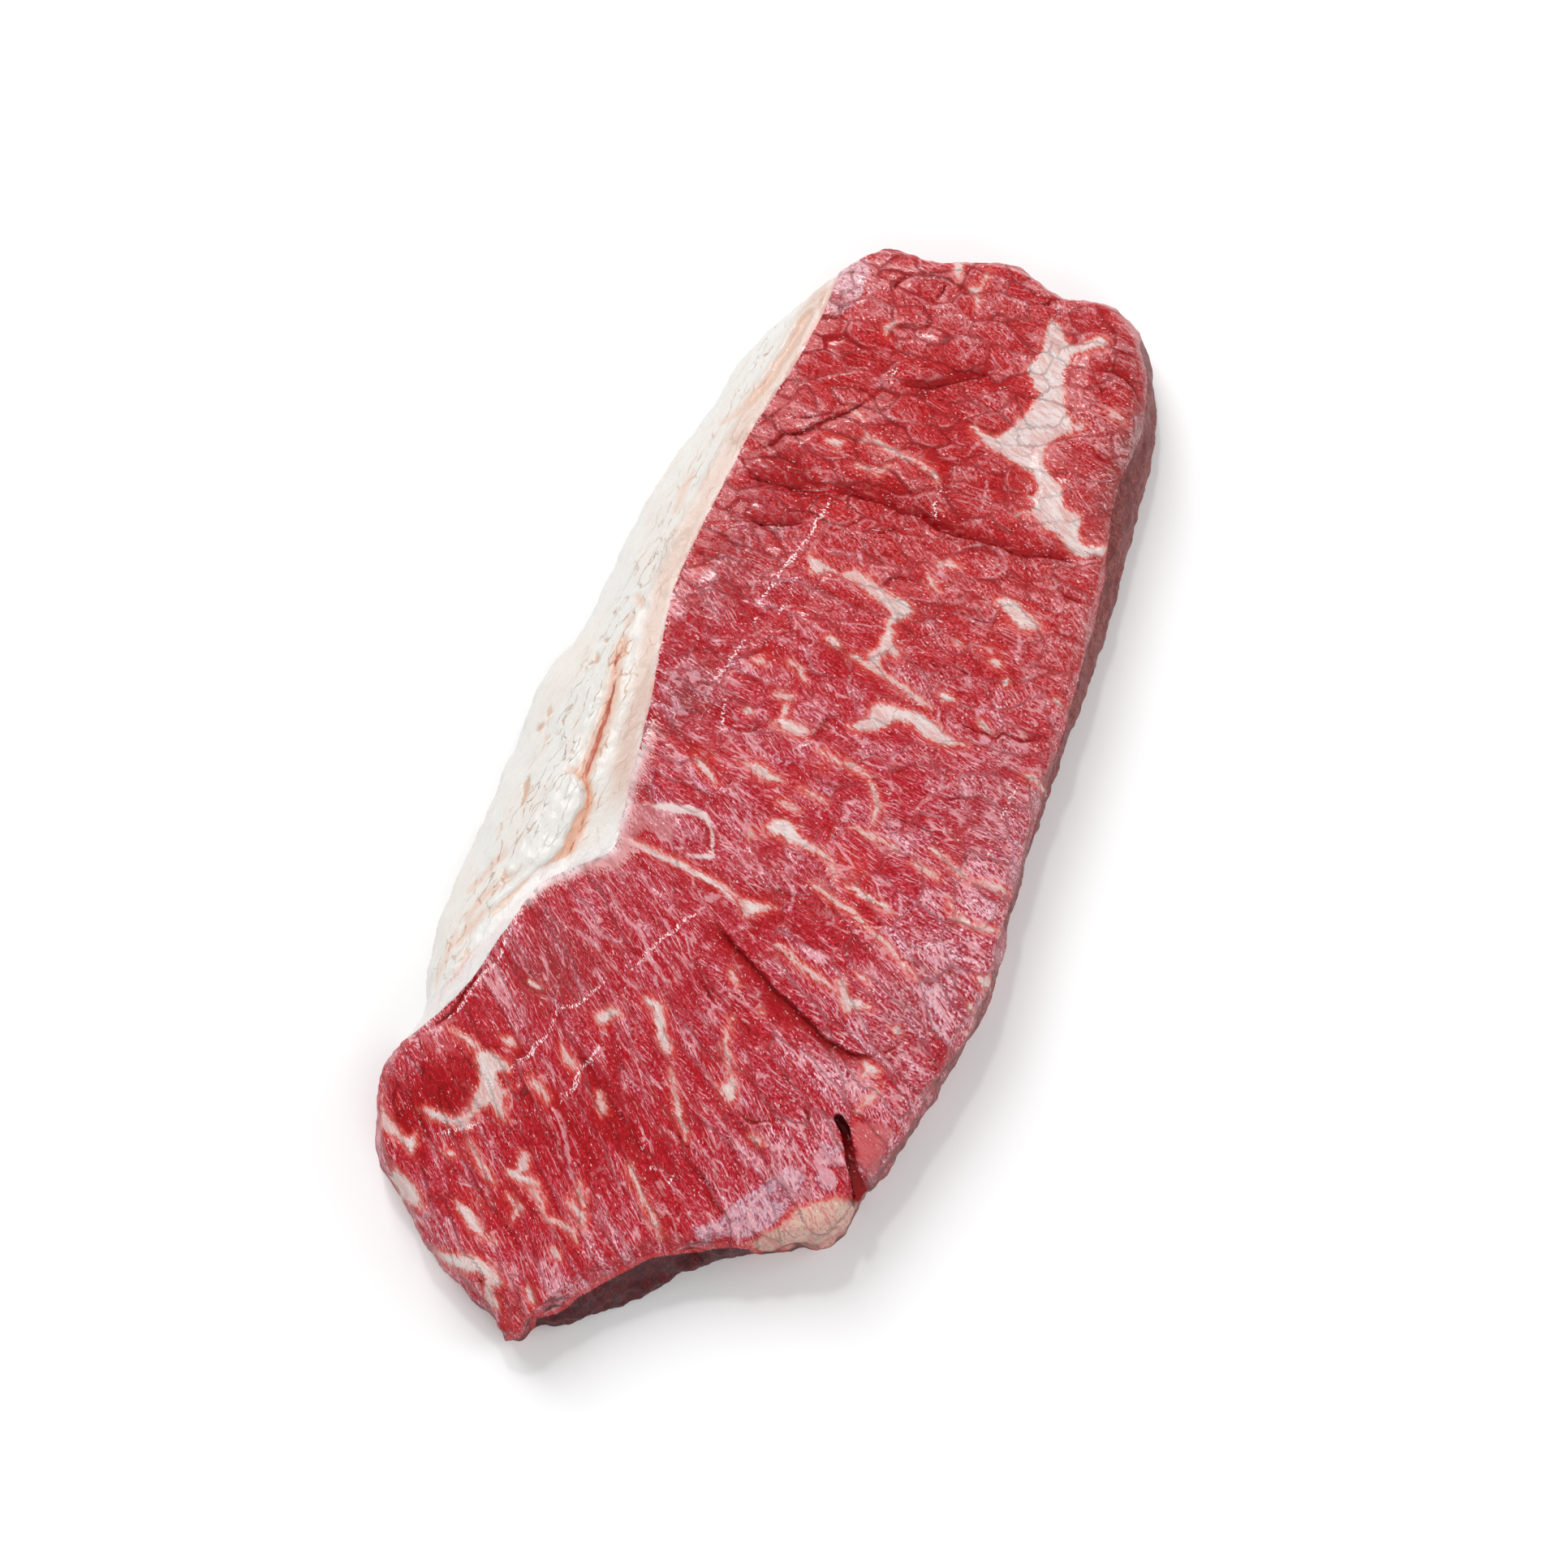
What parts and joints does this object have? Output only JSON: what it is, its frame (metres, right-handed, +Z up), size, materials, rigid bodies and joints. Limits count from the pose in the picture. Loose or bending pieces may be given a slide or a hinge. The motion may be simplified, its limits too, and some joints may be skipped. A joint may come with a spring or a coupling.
{
  "type": "raw sirloin steak",
  "caption": "Thick raw slice of strip loin: a long lean cut with a torn corner and a cap of fat down one side.",
  "frame": {"origin": "centre of the underside: the middle of the bounding box at its lowest height", "axes": "+Z up, away from the face it lies on; +Y along the slice towards its broad end; -X towards the fat cap"},
  "size_m": [0.1156, 0.2518, 0.0221],
  "materials": {
    "lean": "wet raw lean meat with marbling",
    "fat": "moist raw fat, white to peach"
  },
  "bodies": {
    "root": {"lean_meat": "lean", "fat_cap": "fat"}
  },
  "joints": []
}
